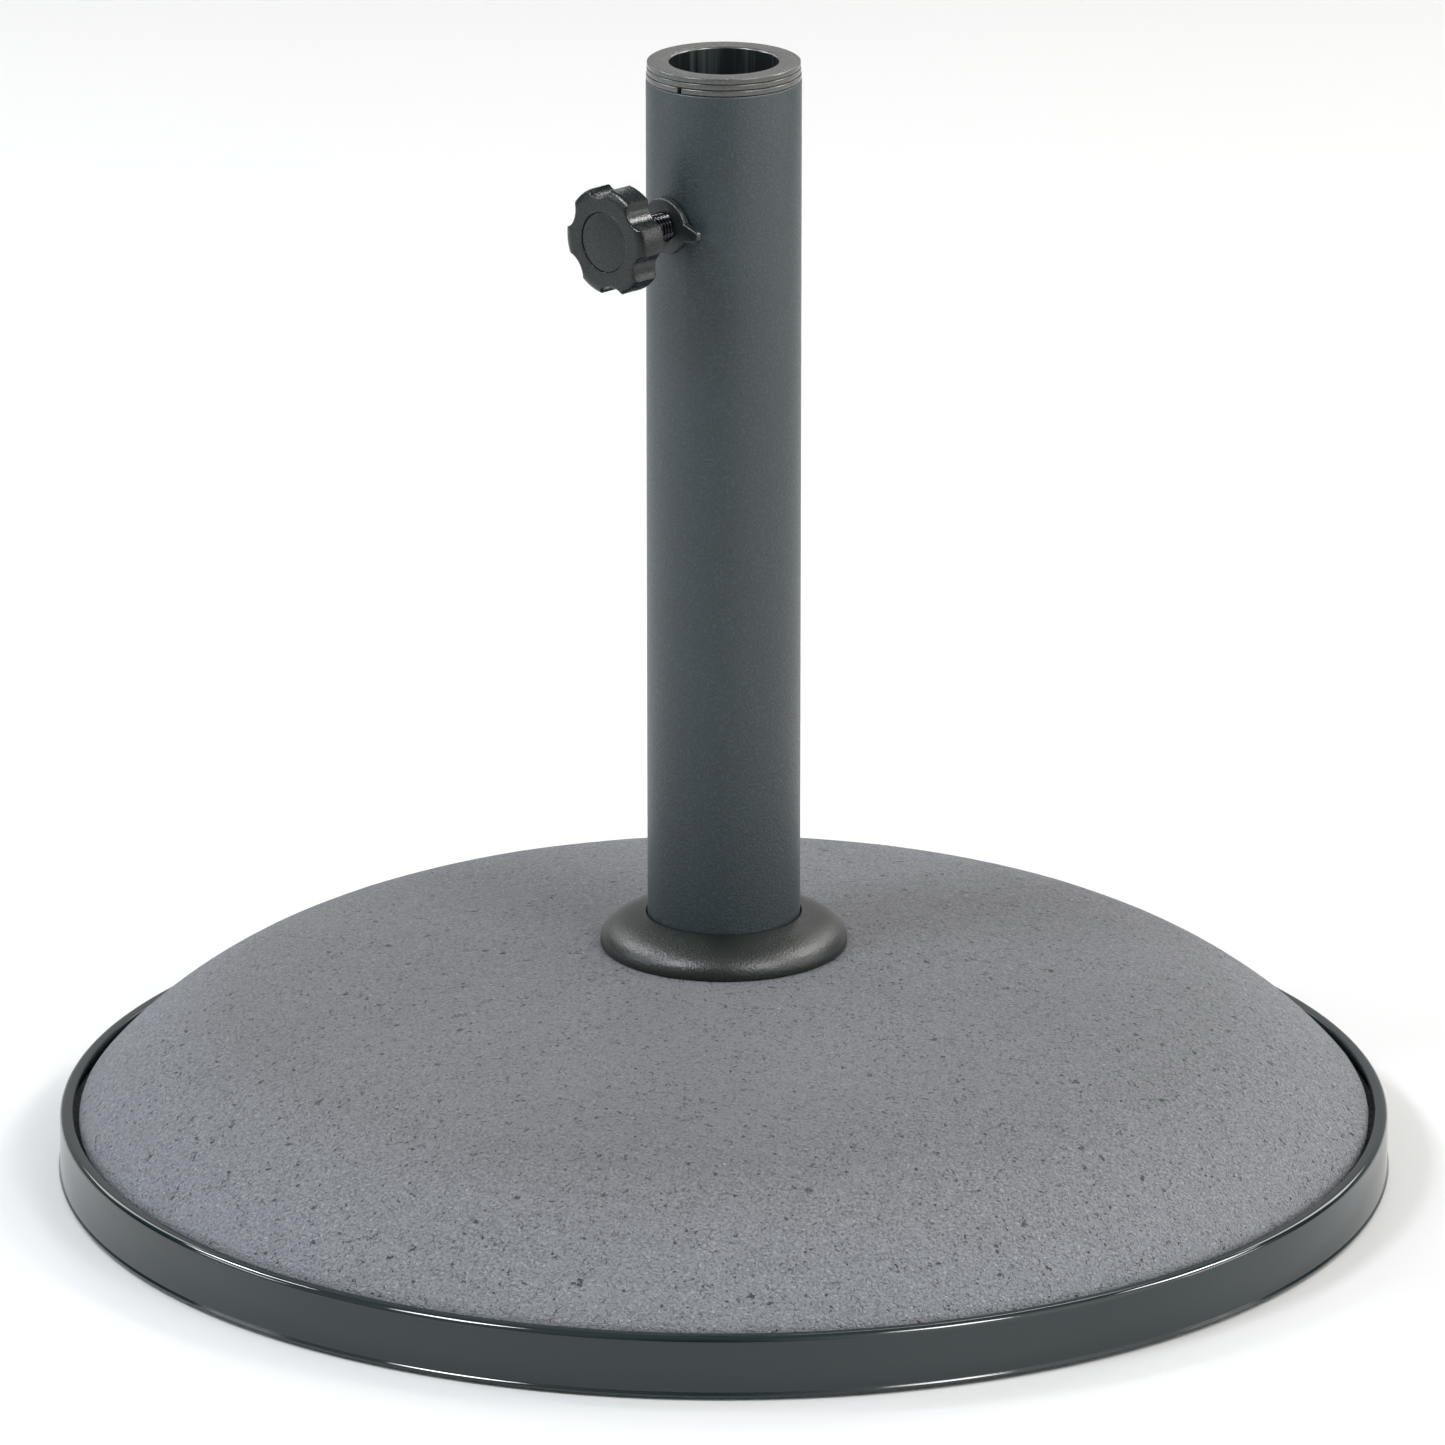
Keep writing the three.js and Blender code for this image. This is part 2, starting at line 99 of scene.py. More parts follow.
class Shader:
    """A Principled material whose nodes are added one by one, in object coordinates."""

    def __init__(self, name, roughness, metallic=0.0, ior=1.5):
        self.material = bpy.data.materials.new(name)
        self.material.use_nodes = True
        self.tree = self.material.node_tree
        self.surface = self.tree.nodes["Principled BSDF"]
        self.surface.inputs["Roughness"].default_value = roughness
        self.surface.inputs["Metallic"].default_value = metallic
        self.surface.inputs["IOR"].default_value = ior
        self.where = self.add("ShaderNodeTexCoord").outputs["Object"]
        self.last_bump = None

    def add(self, kind, **inputs):
        node = self.tree.nodes.new(kind)
        for name, value in inputs.items():
            self.feed(node.inputs[name.replace("_", " ")], value)
        return node

    def feed(self, socket, value):
        if isinstance(value, bpy.types.NodeSocket):
            self.tree.links.new(value, socket)
        else:
            socket.default_value = value

    def noise(self, size, detail, roughness=0.55, distortion=0.0):
        """Noise, 0 to 1, with features about size metres across."""
        node = self.add(
            "ShaderNodeTexNoise",
            Vector=self.where,
            Scale=1 / size,
            Detail=detail,
            Roughness=roughness,
            Distortion=distortion,
        )
        return node.outputs["Fac"]

    def vector_maths(self, operation, first, second, output="Vector"):
        node = self.tree.nodes.new("ShaderNodeVectorMath")
        node.operation = operation
        self.feed(node.inputs[0], first)
        self.feed(node.inputs[1], second)
        return node.outputs[output]

    def distance_from_axis(self):
        flat = self.vector_maths("MULTIPLY", self.where, (1, 1, 0))
        return self.vector_maths("LENGTH", flat, (0, 0, 0), "Value")

    def spots(self, spacing, radius, share, warp):
        """1 inside scattered spots, 0 outside. A share of the cells, spacing wide, has one, and
        warp metres is how far they are pulled out of round."""
        noise = self.add("ShaderNodeTexNoise", Vector=self.where, Scale=1 / (2 * radius))
        wander = self.vector_maths("SUBTRACT", noise.outputs["Color"], (0.5, 0.5, 0.5))
        wander = self.vector_maths("MULTIPLY", wander, (warp, warp, warp))
        where = self.vector_maths("ADD", self.where, wander)
        cells = self.add("ShaderNodeTexVoronoi", Vector=where, Scale=1 / spacing)
        rim = radius / spacing
        inside = self.ramp(cells.outputs["Distance"], rim, SPOT_CORE * rim)
        lottery = self.add("ShaderNodeSeparateColor", Color=cells.outputs["Color"]).outputs["Red"]
        chosen = self.maths("LESS_THAN", lottery, share)
        return self.maths("MULTIPLY", inside, chosen)

    def ramp(self, value, low, high, out_low=0.0, out_high=1.0):
        """Takes low to out_low and high to out_high, straight in between and level beyond."""
        ends = {"From_Min": low, "From_Max": high, "To_Min": out_low, "To_Max": out_high}
        return self.add("ShaderNodeMapRange", Value=value, **ends).outputs["Result"]

    def maths(self, operation, first, second):
        node = self.tree.nodes.new("ShaderNodeMath")
        node.operation = operation
        self.feed(node.inputs[0], first)
        self.feed(node.inputs[1], second)
        return node.outputs["Value"]

    def blend(self, factor, first, second):
        """Colour first where factor is 0 and second where it is 1."""
        node = self.tree.nodes.new("ShaderNodeMix")
        node.data_type = "RGBA"
        sockets = {socket.identifier: socket for socket in node.inputs}
        self.feed(sockets["Factor_Float"], factor)
        for key, colour in (("A_Color", first), ("B_Color", second)):
            linked = isinstance(colour, bpy.types.NodeSocket)
            self.feed(sockets[key], colour if linked else (*colour, 1))
        return next(out for out in node.outputs if out.identifier == "Result_Color")

    def bump(self, height, depth):
        """Relief of height (0 to 1) times depth metres, on top of what was added before."""
        node = self.add("ShaderNodeBump", Height=height)
        node.inputs["Distance"].default_value = depth
        if self.last_bump:
            self.tree.links.new(self.last_bump, node.inputs["Normal"])
        self.last_bump = node.outputs["Normal"]

    def done(self, colour, roughness=None):
        self.feed(self.surface.inputs["Base Color"], colour)
        if roughness is not None:
            self.feed(self.surface.inputs["Roughness"], roughness)
        if self.last_bump:
            self.tree.links.new(self.last_bump, self.surface.inputs["Normal"])
        return self.material


def scaled(colour, factor):
    return tuple(min(1.0, channel * factor) for channel in colour)


CONCRETE_GREY = (0.182, 0.184, 0.197)
# the edge's paler grey is partly the concrete's own paler grain and partly painted light on the edge slopes
CONCRETE_EDGE_PALE_AND_LIT_GREY = (0.300, 0.318, 0.346)
# pale colour of the grains, and of the flecks near the edge that are partly painted glints
CONCRETE_PALE_GRAIN_AND_GLINT = (0.5, 0.52, 0.53)
CONCRETE_COARSENS = (0.185, 0.243)      # radii between which it turns pale and coarse
CLOUD_SIZE = 0.09
SWELL_SIZE = 0.006
RAGGED_PIT_SIZE = 0.0019
SAND_SIZE = 0.0011
LARGE_PITS = (0.0075, 0.0012, 0.42, 0.0055)     # spacing, radius, share and warp of these four
SMALL_PITS = (0.0036, 0.0007, 0.28, 0.0026)
PALE_GRAINS = (0.0066, 0.0006, 0.16, 0.001)
# flecks near the edge: partly pale grains, partly painted glints
EDGE_GLINT_FLECKS = (0.0023, 0.0006, 0.5, 0.0016)


def concrete():
    """Cast concrete: cloudy grey, sandy relief and pale grains, with painted shade in its hollows and pits,
    painted highlights on its crests, and a coarser, paler edge that is partly painted light and glints.
    """
    shader = Shader("concrete", 0.6, ior=1.45)
    shader.surface.inputs["Diffuse Roughness"].default_value = 1.0
    grey = CONCRETE_GREY
    edge = shader.ramp(shader.distance_from_axis(), *CONCRETE_COARSENS)
    cloud = shader.ramp(shader.noise(CLOUD_SIZE, 4), 0.3, 0.7)
    colour = shader.blend(cloud, scaled(grey, 0.95), scaled(grey, 1.05))
    # paler towards the edge: partly its own grain, partly painted light on the edge slopes
    colour = shader.blend(edge, colour, CONCRETE_EDGE_PALE_AND_LIT_GREY)
    sand = shader.noise(SAND_SIZE, 2, 0.65, distortion=0.6)
    # painted shade: the hollows of the sand relief are darkened
    hollows = shader.ramp(sand, 0.48, 0.28)
    colour = shader.blend(shader.maths("MULTIPLY", hollows, 0.6), colour, scaled(grey, 0.45))
    # painted highlight: the crests of the sand relief are lightened, more so towards the edge
    lit_crests = shader.ramp(sand, 0.54, 0.68)
    share = shader.ramp(edge, 0, 1, 0.25, 1.0)
    colour = shader.blend(shader.maths("MULTIPLY", lit_crests, share), colour, scaled(grey, 2.0))
    # pale flecks near the edge, partly pale grains and partly painted glints, joined with the pale grains
    glint_flecks = shader.spots(*EDGE_GLINT_FLECKS)
    glint_flecks = shader.maths("MULTIPLY", glint_flecks, shader.ramp(edge, 0.1, 1))
    pale = shader.maths("MAXIMUM", shader.spots(*PALE_GRAINS), glint_flecks)
    colour = shader.blend(shader.maths("MULTIPLY", pale, 0.8), colour, CONCRETE_PALE_GRAIN_AND_GLINT)
    ragged = shader.ramp(shader.noise(RAGGED_PIT_SIZE, 3, 0.7, distortion=1.5), 0.385, 0.35)
    pits = shader.maths("MAXIMUM", shader.spots(*LARGE_PITS), ragged)
    pits = shader.maths("MAXIMUM", shader.spots(*SMALL_PITS), pits)
    # painted shade: the pits are darkened
    colour = shader.blend(shader.maths("MULTIPLY", pits, 0.85), colour, scaled(grey, 0.15))
    shader.bump(shader.noise(SWELL_SIZE, 3, 0.6), 0.0008)
    shader.bump(shader.maths("MULTIPLY", sand, shader.ramp(edge, 0, 1, 0.6, 1.8)), 0.0012)
    shader.bump(shader.maths("SUBTRACT", 1.0, pits), 0.0009)
    rough = shader.ramp(sand, 0.4, 0.66, 0.8, 0.35)
    return shader.done(colour, shader.maths("SUBTRACT", rough, shader.maths("MULTIPLY", pale, 0.2)))


def painted(name, colour, roughness, grain_size, grain_depth, speckle, ior):
    """A dark coat or moulded plastic: slight clouds, and a fine grain with painted glints on its raised specks and
    painted shade in its dips.
    """
    shader = Shader(name, roughness, ior=ior)
    cloud = shader.ramp(shader.noise(0.03, 3), 0.3, 0.7)
    tone = shader.blend(cloud, scaled(colour, 0.94), scaled(colour, 1.06))
    grain = shader.noise(grain_size, 2, 0.6)
    # painted glints on the grain's raised specks
    grain_glints = shader.maths("MULTIPLY", shader.ramp(grain, 0.53, 0.7), speckle)
    tone = shader.blend(grain_glints, tone, scaled(colour, 3.0))
    # painted shade in the grain's dips
    grain_dip_shade = shader.maths("MULTIPLY", shader.ramp(grain, 0.47, 0.3), speckle)
    tone = shader.blend(grain_dip_shade, tone, scaled(colour, 0.3))
    shader.bump(grain, grain_depth)
    return shader.done(tone, shader.ramp(grain, 0.3, 0.7, roughness * 1.1, roughness * 0.9))


def reflection_streaked(name, colour, roughness):
    """Smooth plastic with faint upright streaks of painted reflection, and a slight relief along them."""
    shader = Shader(name, roughness)
    stretched = shader.vector_maths("MULTIPLY", shader.where, (1, 1, 0.03))
    noise = shader.add("ShaderNodeTexNoise", Vector=stretched, Scale=350.0, Detail=2.0)
    reflection_streak = noise.outputs["Fac"]
    shader.bump(reflection_streak, 0.00008)
    # painted reflection: the streaks are lightened
    return shader.done(shader.blend(shader.ramp(reflection_streak, 0.5, 0.72), colour, scaled(colour, 4.0)))


def plated(name, colour, roughness):
    """Plated or blackened steel with faint turning marks and stains."""
    shader = Shader(name, roughness, metallic=1.0)
    stain = shader.ramp(shader.noise(0.004, 4, 0.6), 0.35, 0.7)
    tone = shader.blend(stain, colour, scaled(colour, 0.72))
    shader.bump(shader.noise(0.0006, 2), 0.00002)
    return shader.done(tone, shader.ramp(stain, 0, 1, roughness * 0.85, roughness * 1.3))


def rubber():
    shader = Shader("rubber", 0.75)
    grain = shader.noise(0.0008, 3)
    shader.bump(grain, 0.00008)
    return shader.done(shader.blend(grain, (0.012, 0.012, 0.012), (0.028, 0.028, 0.028)))


# Each has its colour, roughness, size and depth of the grain in metres, speckle (the strength of
# the painted glints and shade on the grain) and index of refraction.
PAINTED = {
    "rim_coat": ((0.006, 0.015, 0.017), 0.06, 0.004, 0.000004, 0.05, 1.56),
    "powder_coat": ((0.017, 0.030, 0.035), 0.42, 0.0009, 0.00020, 0.35, 1.6),
    "collar_plastic": ((0.004, 0.007, 0.005), 0.37, 0.0009, 0.00018, 0.5, 1.5),
    "reducer_plastic": ((0.055, 0.057, 0.052), 0.25, 0.0010, 0.00002, 0.2, 1.75),
    "knob_plastic": ((0.005, 0.008, 0.008), 0.27, 0.0008, 0.00011, 0.4, 1.43),
    "nut_coat": ((0.012, 0.016, 0.016), 0.3, 0.0007, 0.00012, 0.4, 1.5),
    "tip_plastic": ((0.02, 0.02, 0.02), 0.4, 0.0008, 0.00002, 0.2, 1.5),
}
MATERIALS = {name: painted(name, *settings) for name, settings in PAINTED.items()}
MATERIALS["concrete"] = concrete()
MATERIALS["bore_plastic"] = reflection_streaked("bore_plastic", (0.013, 0.016, 0.016), 0.14)
MATERIALS["screw_steel"] = plated("screw_steel", (0.045, 0.045, 0.05), 0.12)
MATERIALS["zinc"] = plated("zinc", (0.62, 0.62, 0.60), 0.28)
MATERIALS["rubber"] = rubber()


# ---- Mesh helpers ----
CREASE = 35                             # degrees: edges that turn by more are drawn sharp
THREAD_CREASE = 50


def finish_mesh(name, vertices, faces, sharp=CREASE):
    """A new object from vertices and faces, smooth but for edges sharper than sharp degrees."""
    mesh = bpy.data.meshes.new(name)
    mesh.from_pydata([tuple(v) for v in vertices], [], faces)
    tidy = bmesh.new()
    tidy.from_mesh(mesh)
    bmesh.ops.remove_doubles(tidy, verts=tidy.verts, dist=1e-7)
    bmesh.ops.recalc_face_normals(tidy, faces=tidy.faces)
    tidy.to_mesh(mesh)
    tidy.free()
    piece = bpy.data.objects.new(name, mesh)
    bpy.context.scene.collection.objects.link(piece)
    shade(piece, sharp)
    return piece


def shade(piece, sharp):
    piece.data.polygons.foreach_set("use_smooth", [True] * len(piece.data.polygons))
    piece.data.set_sharp_from_angle(angle=math.radians(sharp))


def grid_faces(rows, columns, wrap_rows):
    """Quads of a grid that wraps round its columns, and round its rows too if asked."""
    faces = []
    for i in range(rows if wrap_rows else rows - 1):
        for j in range(columns):
            a, b = i * columns, (i + 1) % rows * columns
            k = (j + 1) % columns
            faces.append((a + j, a + k, b + k, b + j))
    return faces


def revolved(name, profile, segments, limit=None):
    """A body of revolution about Z. The profile's (radius, height) points go round the section
    and either close on themselves or start and end on the axis.
    limit(radii, angles) may pull a ring of points in, so that the body isn't quite round."""
    angles = np.linspace(0, TAU, segments, endpoint=False)
    rows = []
    for radius, height in profile:
        radii = np.full(segments, float(radius))
        if limit is not None:
            radii = limit(radii, angles)
        level = np.full(segments, height)
        rows.append(np.stack([radii * np.cos(angles), radii * np.sin(angles), level], 1))
    on_axis = profile[0][0] == 0
    faces = grid_faces(len(profile), segments, not on_axis)
    return finish_mesh(name, np.concatenate(rows), faces)


def arc(centre_r, centre_z, radius, start, end, steps):
    """Points on an arc, angles in degrees from the radial direction."""
    return [
        (centre_r + radius * math.cos(a), centre_z + radius * math.sin(a))
        for a in np.radians(np.linspace(start, end, steps + 1))
    ]


def rounded(corners, rounds, steps):
    """A closed section whose corners are rounded. Each corner has its own radius."""
    points = []
    count = len(corners)
    for i in range(count):
        here = Vector(corners[i])
        before = (Vector(corners[i - 1]) - here).normalized()
        after = (Vector(corners[(i + 1) % count]) - here).normalized()
        radius = rounds[i]
        if radius <= 0:
            points.append(tuple(here))
            continue
        half = before.angle(after) / 2
        centre = here + (before + after).normalized() * (radius / math.sin(half))
        start = here + before * (radius / math.tan(half)) - centre
        end = here + after * (radius / math.tan(half)) - centre
        for j in range(steps + 1):
            turned = start.slerp(end, j / steps)
            points.append(tuple(centre + turned.normalized() * radius))
    return points


def prism(name, outline, low, high):
    """A prism along Z from an outline of (x, y) points."""
    count = len(outline)
    vertices = [(x, y, z) for z in (low, high) for x, y in outline]
    faces = grid_faces(2, count, False)
    faces += [tuple(range(count)), tuple(range(count, 2 * count))]
    return finish_mesh(name, vertices, faces)


def circle(radius, segments):
    angles = np.linspace(0, TAU, segments, endpoint=False)
    return [(radius * math.cos(a), radius * math.sin(a)) for a in angles]


def apply_modifiers(piece, sharp=CREASE):
    bpy.context.view_layer.update()
    graph = bpy.context.evaluated_depsgraph_get()
    mesh = bpy.data.meshes.new_from_object(piece.evaluated_get(graph))
    piece.modifiers.clear()
    piece.data = mesh
    shade(piece, sharp)


def boolean(piece, tool, operation, sharp=CREASE):
    """Cuts, joins or intersects piece with tool, and deletes tool."""
    modifier = piece.modifiers.new("boolean", "BOOLEAN")
    modifier.operation = operation
    modifier.object = tool
    modifier.solver = "EXACT"
    tool.hide_render = True
    apply_modifiers(piece, sharp)
    bpy.data.objects.remove(tool)
    return piece


def bevelled(piece, width, segments):
    modifier = piece.modifiers.new("bevel", "BEVEL")
    modifier.width = width
    modifier.segments = segments
    modifier.limit_method = "ANGLE"
    modifier.angle_limit = math.radians(30)
    apply_modifiers(piece)
    return piece


SCREW_FRAME = Matrix.Translation((0, 0, SCREW_HEIGHT)) @ Matrix(
    (Vector((0, 0, 1)).cross(SCREW_AXIS), Vector((0, 0, 1)), SCREW_AXIS)
).transposed().to_4x4()


def along_screw(piece):
    """Moves a piece made along +Z to the clamp screw's axis, outwards, with its +Y up."""
    piece.data.transform(SCREW_FRAME)
    return piece


def along_screw_span(node):
    """Where a CAD node starts and ends along the clamp screw's axis, from the tube's axis."""
    reach = [vertex.co.dot(SCREW_AXIS) for vertex in frame["nodes"][node].data.vertices]
    return min(reach), max(reach)


def dress(piece, body, slot, node):
    """Gives a piece its slot's material and its body, and hides the CAD node that it stands for."""
    piece.data.materials.clear()
    piece.data.materials.append(MATERIALS[slot])
    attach(piece, body)
    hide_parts(node)
    return piece


# ---- Concrete ----
CROWN_RADIUS = 951.2 * MM
SHOULDER_RADIUS = 149.1 * MM
SHOULDER_END = (240.3 * MM, 25.1 * MM)
EDGE_RADIUS = 7 * MM
SOCKET_RADIUS = 29.1 * MM
SOCKET_FLOOR = 62 * MM
BOLT_HOLE = 7 * MM
RECESS_RADIUS = 30 * MM
RECESS_CEILING = 24.3 * MM
CROWN_TOP = 86.8 * MM
GROOVE_FLOOR = 16 * MM


def dome_section(crown_steps, shoulder_steps, edge_steps):
    """The dome's skin from the socket's mouth to the groove behind the rim's lip."""
    crown_z = CROWN_TOP - CROWN_RADIUS
    to_end = math.hypot(SHOULDER_END[0], SHOULDER_END[1] - crown_z)
    to_shoulder = CROWN_RADIUS - SHOULDER_RADIUS
    bend = math.acos((to_shoulder**2 + to_end**2 - SHOULDER_RADIUS**2) / (2 * to_shoulder * to_end))
    crown_end = math.degrees(math.atan2(SHOULDER_END[1] - crown_z, SHOULDER_END[0]) + bend)
    shoulder_r = to_shoulder * math.cos(math.radians(crown_end))
    shoulder_z = crown_z + to_shoulder * math.sin(math.radians(crown_end))
    end = math.atan2(SHOULDER_END[1] - shoulder_z, SHOULDER_END[0] - shoulder_r)
    edge_r = SHOULDER_END[0] - EDGE_RADIUS * math.cos(end)
    edge_z = SHOULDER_END[1] - EDGE_RADIUS * math.sin(end)
    crown_start = math.degrees(math.acos(SOCKET_RADIUS / CROWN_RADIUS))
    end = math.degrees(end)
    return (
        arc(0, crown_z, CROWN_RADIUS, crown_start, crown_end, crown_steps)
        + arc(shoulder_r, shoulder_z, SHOULDER_RADIUS, crown_end, end, shoulder_steps)[1:]
        + arc(edge_r, edge_z, EDGE_RADIUS, end, 0, edge_steps)[1:]
    )


def make_concrete():
    bottom, _ = low_high("concrete_body")
    wall = radius_of("concrete_body")
    skin = dome_section(56, 76, 12)
    neck, _ = skin[-1]
    rest = [
        (neck, GROOVE_FLOOR + 0.5 * MM),
        (neck + 0.5 * MM, GROOVE_FLOOR),
        (wall - 0.5 * MM, GROOVE_FLOOR),
        (wall, GROOVE_FLOOR - 0.5 * MM),
        (wall, bottom + 1.5 * MM),
        (wall - 1.5 * MM, bottom),
        (RECESS_RADIUS + 1.5 * MM, bottom),
        (RECESS_RADIUS, bottom + 1.5 * MM),
        (RECESS_RADIUS, RECESS_CEILING),
        (BOLT_HOLE, RECESS_CEILING),
        (BOLT_HOLE, SOCKET_FLOOR),
        (SOCKET_RADIUS, SOCKET_FLOOR),
    ]
    piece = revolved("concrete_dome", skin + rest, 600)
    roughen(piece)
    return dress(piece, "base", "concrete", "concrete_body")


HOLLOW_SIZES = (0.04, 0.022, 0.012, 0.007)
HOLLOW_WAVES = 7
HOLLOW_DEPTH = 0.12 * MM


def roughen(piece):
    """Takes the cast surface slightly out of true, in soft hollows 7 to 40 mm across."""
    count = len(piece.data.vertices)
    places = np.zeros(count * 3)
    piece.data.vertices.foreach_get("co", places)
    places = places.reshape(-1, 3)
    normals = np.zeros(count * 3)
    piece.data.vertices.foreach_get("normal", normals)
    draw = np.random.default_rng(7)
    height = np.zeros(count)
    for size in HOLLOW_SIZES:
        for _ in range(HOLLOW_WAVES):
            wave = draw.normal(size=3)
            wave *= TAU / size / np.linalg.norm(wave)
            height += np.sin(places @ wave + draw.uniform(0, TAU)) * size / HOLLOW_SIZES[0]
    height *= HOLLOW_DEPTH / HOLLOW_WAVES
    places += normals.reshape(-1, 3) * height[:, None]
    piece.data.vertices.foreach_set("co", places.ravel())
    piece.data.update()


# ---- Rim ----
RIM_BEAD = 0.95 * MM
RIM_WALL = 249.35 * MM
RIM_DRAFT = 0.15 * MM
RIM_SHEET = 2 * MM
RIM_FILLET = 0.8 * MM
RIM_BEND = 2.2 * MM
LIP_RADIUS = 244.2 * MM
FLANGE_RADIUS = 228 * MM


def make_rim():
    """A channel round the concrete's edge. A fillet joins the bead round its foot to its wall."""
    bottom, top = low_high("rim_band")
    bead_r = radius_of("rim_band") - RIM_BEAD
    bead_z = bottom + RIM_BEAD
    fillet_r = RIM_WALL + RIM_FILLET
    climb = math.sqrt((RIM_BEAD + RIM_FILLET) ** 2 - (fillet_r - bead_r) ** 2)
    meet = math.degrees(math.atan2(climb, fillet_r - bead_r))
    foot = arc(bead_r, bead_z, RIM_BEAD, -90, meet, 10)
    foot += arc(fillet_r, bead_z + climb, RIM_FILLET, 180 + meet, 180, 6)
    wall_top = RIM_WALL - RIM_DRAFT
    corners = [
        (FLANGE_RADIUS, bottom),
        *foot,
        (wall_top, top),
        (LIP_RADIUS, top),
        (LIP_RADIUS, top - RIM_SHEET),
        (wall_top - RIM_SHEET, top - RIM_SHEET),
        (RIM_WALL - RIM_SHEET, bottom + RIM_SHEET),
        (FLANGE_RADIUS, bottom + RIM_SHEET),
    ]
    inner_rounds = [0.8 * MM, 0.3 * MM, 0.4 * MM, 0.5 * MM, 0.6 * MM]
    rounds = [0.6 * MM, *[0] * len(foot), RIM_BEND, *inner_rounds]
    piece = revolved("rim_channel", rounded(corners, rounds, 8), 480)
    return dress(piece, "base", "rim_coat", "rim_band")


def make_pads():
    for node in [name for name in frame["nodes"] if name.startswith("floor_pad")]:
        low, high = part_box(node)
        centre = (low + high) / 2
        radius = (high.x - low.x) / 2
        edge = 0.4 * MM
        profile = [(0, low.z), (radius - edge, low.z)]
        profile += arc(radius - edge, low.z + edge, edge, -90, 0, 4)
        profile += [(radius, high.z), (0, high.z)]
        piece = revolved(node.replace("floor_pad", "rubber_pad"), profile, 48)
        piece.data.transform(Matrix.Translation((centre.x, centre.y, 0)))
        dress(piece, "base", "rubber", node)


# ---- Tube and its foot ----
TUBE_WALL = 1.5 * MM
BOSS_HOLE = 7.3 * MM
BOLT_CLEARANCE = 6.5 * MM               # radius of the hole in the foot plate and the washer
BOLT_RADIUS = 5.9 * MM
BOLT_PITCH = 1.75 * MM
BOLT_FLATS = 18 * MM
BOLT_HEAD = 7.5 * MM


def make_tube():
    low, high = low_high("pole_tube")
    outer = radius_of("pole_tube")
    inner = outer - TUBE_WALL
    corners = [(inner, low), (outer, low), (outer, high), (inner, high)]
    piece = revolved("tube", rounded(corners, [0.2 * MM, 0.2 * MM, 0.5 * MM, 0.4 * MM], 4), 192)
    hole = along_screw(prism("hole", circle(BOSS_HOLE, 48), 0, 2 * outer))
    boolean(piece, hole, "DIFFERENCE")
    return dress(piece, "base", "powder_coat", "pole_tube")


def make_foot_plate():
    low, high = low_high("tube_foot_plate")
    outer = radius_of("tube_foot_plate")
    corners = [(BOLT_CLEARANCE, low), (outer, low), (outer, high), (BOLT_CLEARANCE, high)]
    rounds = [0.5 * MM, 0.8 * MM, 0.8 * MM, 0.5 * MM]
    piece = revolved("foot_plate", rounded(corners, rounds, 3), 128)
    return dress(piece, "base", "powder_coat", "tube_foot_plate")


def hexagon(flats):
    corner = flats / math.sqrt(3)
    return [(corner * math.cos(i * TAU / 6), corner * math.sin(i * TAU / 6)) for i in range(6)]


def hex_block(name, flats, low, high, chamfer_low, chamfer_high):
    """A hexagon bar's slice whose corners are turned off at the ends that ask for it."""
    block = prism(name, hexagon(flats), low, high)
    clear = flats / math.sqrt(3) + 0.5 * MM
    drop = (clear - flats / 2) * math.tan(math.radians(30))
    foot = [(flats / 2, low), (clear, low + drop)] if chamfer_low else [(clear, low)]
    top = [(clear, high - drop), (flats / 2, high)] if chamfer_high else [(clear, high)]
    profile = [(0, low), *foot, *top, (0, high)]
    return boolean(block, revolved("chamfer", profile, 96), "INTERSECT")


THREAD_DEPTH = 0.61                     # the depth, the crest and both flanks in pitches
THREAD_CREST = 0.125
THREAD_FLANKS = 0.75
ROOT_START = 0.85                       # share of the depth where the flanks ease into the root
ROOT_SLOPE = 0.4                        # share of the flanks' slope that is left there
POINT_LENGTH = 1.1                      # pitches that the point's chamfer takes
POINT_SLOPE = 0.9


def make_threaded_rod(name, radius, pitch, low, high, segments, steps, pointed):
    """A right-hand thread along +Z, with a chamfer at its low end if it is pointed."""
    rows = max(3, int(round((high - low) / pitch * steps)) + 1)
    heights = np.linspace(low, high, rows)
    angles = np.linspace(0, TAU, segments, endpoint=False)
    z, a = np.meshgrid(heights, angles, indexing="ij")
    away = np.abs(np.mod(z / pitch - a / TAU, 1.0) - 0.5) * 2
    cut = np.clip((away - THREAD_CREST) / THREAD_FLANKS, 0, 1)
    cut = np.where(cut > ROOT_START, ROOT_START + (cut - ROOT_START) * ROOT_SLOPE, cut)
    r = radius - THREAD_DEPTH * pitch * cut
    if pointed:
        short = np.clip(POINT_LENGTH * pitch - (z - low), 0, None)
        r = np.minimum(r, radius - short * POINT_SLOPE)
    ring = np.stack([r * np.cos(a), r * np.sin(a), z], -1).reshape(-1, 3)
    faces = grid_faces(rows, segments, False)
    faces += [tuple(range(segments)), tuple(range((rows - 1) * segments, rows * segments))]
    return finish_mesh(name, ring, faces, THREAD_CREASE)


